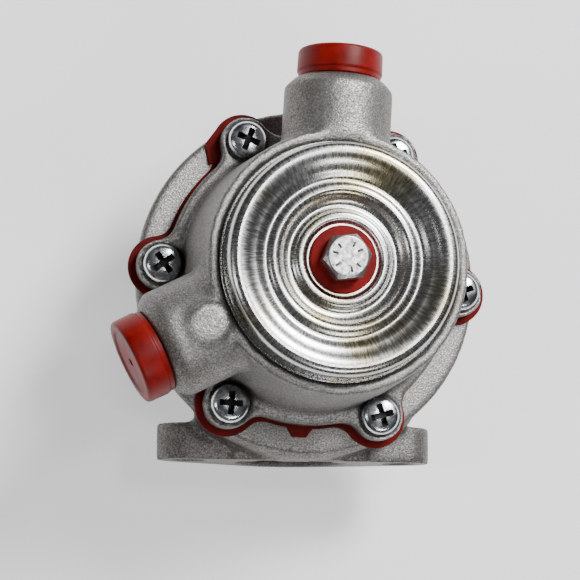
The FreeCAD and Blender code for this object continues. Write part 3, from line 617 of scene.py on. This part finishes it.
def bodyScrews():
    master, recess = screwMaster()
    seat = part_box("body_screws")[1].z - screw["headHigh"] * mm
    for index, turn in enumerate(screw["turns"]):
        angle = headTurn + math.radians(60 * index)
        copy = bpy.data.objects.new("bodyScrew%d" % (index + 1), master.data.copy())
        bpy.context.scene.collection.objects.link(copy)
        spot = Vector((headX + math.cos(angle) * screw["circle"] * mm,
                       headY + math.sin(angle) * screw["circle"] * mm, seat))
        stand(copy, spot, turn=headTurn + math.radians(turn))
        finished(copy, zinc, "zinc_steel", "root", "body_screws", angle=30)
        # the recess faces get the near-black painted shade
        copy.data.materials.append(paintedRecessShade)
        for face in recess:
            copy.data.polygons[face].material_index = 1
    bpy.data.objects.remove(master)


bodyScrews()
print("screws ready")


cap = dict(head=7.0, outerR=10.25, neckR=9.9, shankR=7.1, shank=8.0, hollowR=5.6, roof=1.2)


def portCap(name, node, mount, body):
    way = Vector(mounts[mount]["axis"])
    mouth = Vector(mounts[mount]["pos_m"])
    outer, head, hollow = cap["outerR"], cap["head"], cap["hollowR"]
    obj = turnedPiece(name, [
        (hollow, -cap["shank"], 0.3),
        (cap["shankR"], -cap["shank"], 0.5),
        (cap["shankR"], 0.05, 0.2),
        (cap["neckR"], 0.05, 0.3),
        (cap["neckR"], 1.3, 0.3),
        (outer, 1.6, 0.3),
        (outer - 0.1, head, 0.9),
        (outer - 2.2, head - 0.02, 0.4),
        (outer - 2.6, head - 0.45, 0.4),
        (1.0, head - 0.45, 0.2),
        (0.8, head - 0.45 - cap["roof"], 0.2),
        (hollow, head - 0.5 - cap["roof"], 0.6),
    ], 96, 4, shell=True)
    stand(obj, mouth, way)
    finished(obj, capPlastic, "red_plastic", body, node, angle=40)


portCap("outletCap", "outlet_plug", "outlet_port", "outlet_cap")
portCap("inletCap", "inlet_plug", "inlet_port", "inlet_cap")
print("caps ready")


def diaphragmSheet():
    obj = nodeCopy("diaphragmSheet", "diaphragm")
    pick(obj)
    bpy.ops.object.mode_set(mode="EDIT")
    bpy.ops.mesh.select_all(action="SELECT")
    bpy.ops.mesh.dissolve_limited(angle_limit=math.radians(1))
    bpy.ops.object.mode_set(mode="OBJECT")
    applyModifier(obj, "BEVEL", width=0.15 * mm, segments=2, limit_method="ANGLE",
                  angle_limit=math.radians(60))
    finished(obj, diaphragmRubber, "red_diaphragm", "root", "diaphragm", angle=40)


diaphragmSheet()
print("diaphragm ready")


# each spring: its joint, how far that joint presses it, and whether it rests on its upper end
springs = {
    "diaphragmSpring": ("diaphragm_spring", "diaphragm_pull", 2.96, False),
    "outletValveSpring": ("outlet_valve_spring", "outlet_valve_lift", 1.2, True),
    "inletValveSpring": ("inlet_valve_spring", "inlet_valve_lift", 1.2, False),
}


def coilSpring(name, node, joint, travel, hangs):
    obj = nodeCopy(name, node)
    finished(obj, looks["spring_steel"], "spring_steel", "root", node, angle=60)
    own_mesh(obj)


for name, spring in springs.items():
    coilSpring(name, *spring)
print("springs ready")


studio = dict(floor=6.0, world=0.04, glow=0.62)


def floorSheet():
    deselectAll()
    bpy.ops.mesh.primitive_plane_add(size=studio["floor"], location=(headX, headY, cadBox[0].z - 0.02 * mm))
    sheet = bpy.context.object
    sheet.name = "floorSheet"
    material, nodes, links, shader = newMaterial(
        "paleFloor", Roughness=0.9, Specular_IOR_Level=0.1,
        Emission_Color=(1, 1, 1, 1), Emission_Strength=studio["glow"])
    cloud = noiseOn(nodes, links, ownPlace(nodes), 3, 2.0, 0.5)
    tone = rampOn(nodes, links, cloud, [(0.3, grey(0.90)), (0.7, grey(0.93))])
    links.new(tone, shader.inputs["Base Color"])
    sheet.data.materials.append(material)


def softLight(name, offset, size, power):
    data = bpy.data.lights.new(name, "AREA")
    data.shape = "RECTANGLE"
    data.size, data.size_y = size
    data.energy = power
    lamp = bpy.data.objects.new(name, data)
    bpy.context.scene.collection.objects.link(lamp)
    spot = headSpot + Vector(offset)
    lamp.location = spot
    lamp.rotation_euler = (spot - headSpot).to_track_quat("Z", "Y").to_euler()


def studioLight():
    world = bpy.data.worlds.new("studio")
    bpy.context.scene.world = world
    world.use_nodes = True
    world.node_tree.nodes["Background"].inputs["Color"].default_value = (*grey(studio["world"]), 1)
    softLight("keyBox", (0.40, 0.46, 0.72), (0.30, 0.30), 11)
    softLight("topBox", (0.20, 0.13, 0.95), (0.12, 0.20), 1.6)
    softLight("leftBox", (-0.70, -0.10, 0.60), (0.10, 0.40), 1.0)
    softLight("frontBox", (0.20, -0.62, 0.72), (0.36, 0.10), 2.0)


viewing = dict(turn=-56.83, rise=75.44, roll=0.36, distance=0.526, lens=133.0, aim=(-0.00449, -0.00233))


def photoCamera():
    turn, rise, roll = (math.radians(viewing[key]) for key in ("turn", "rise", "roll"))
    back = Vector((math.sin(turn) * math.cos(rise), -math.cos(turn) * math.cos(rise), math.sin(rise)))
    right = Vector((0, 1, 0)).cross(back).normalized()
    up = back.cross(right)
    rightRolled = math.cos(roll) * right + math.sin(roll) * up
    upRolled = math.cos(roll) * up - math.sin(roll) * right
    aim = headSpot + Vector((*viewing["aim"], 0))
    data = bpy.data.cameras.new("studioCamera")
    data.lens = viewing["lens"]
    data.sensor_width = 36
    camera = bpy.data.objects.new("studioCamera", data)
    bpy.context.scene.collection.objects.link(camera)
    pose = Matrix((rightRolled, upRolled, back)).transposed().to_4x4()
    camera.matrix_world = Matrix.Translation(aim + back * viewing["distance"]) @ pose
    bpy.context.scene.camera = camera


floorSheet()
studioLight()
photoCamera()
deselectAll()

print("scene ready")
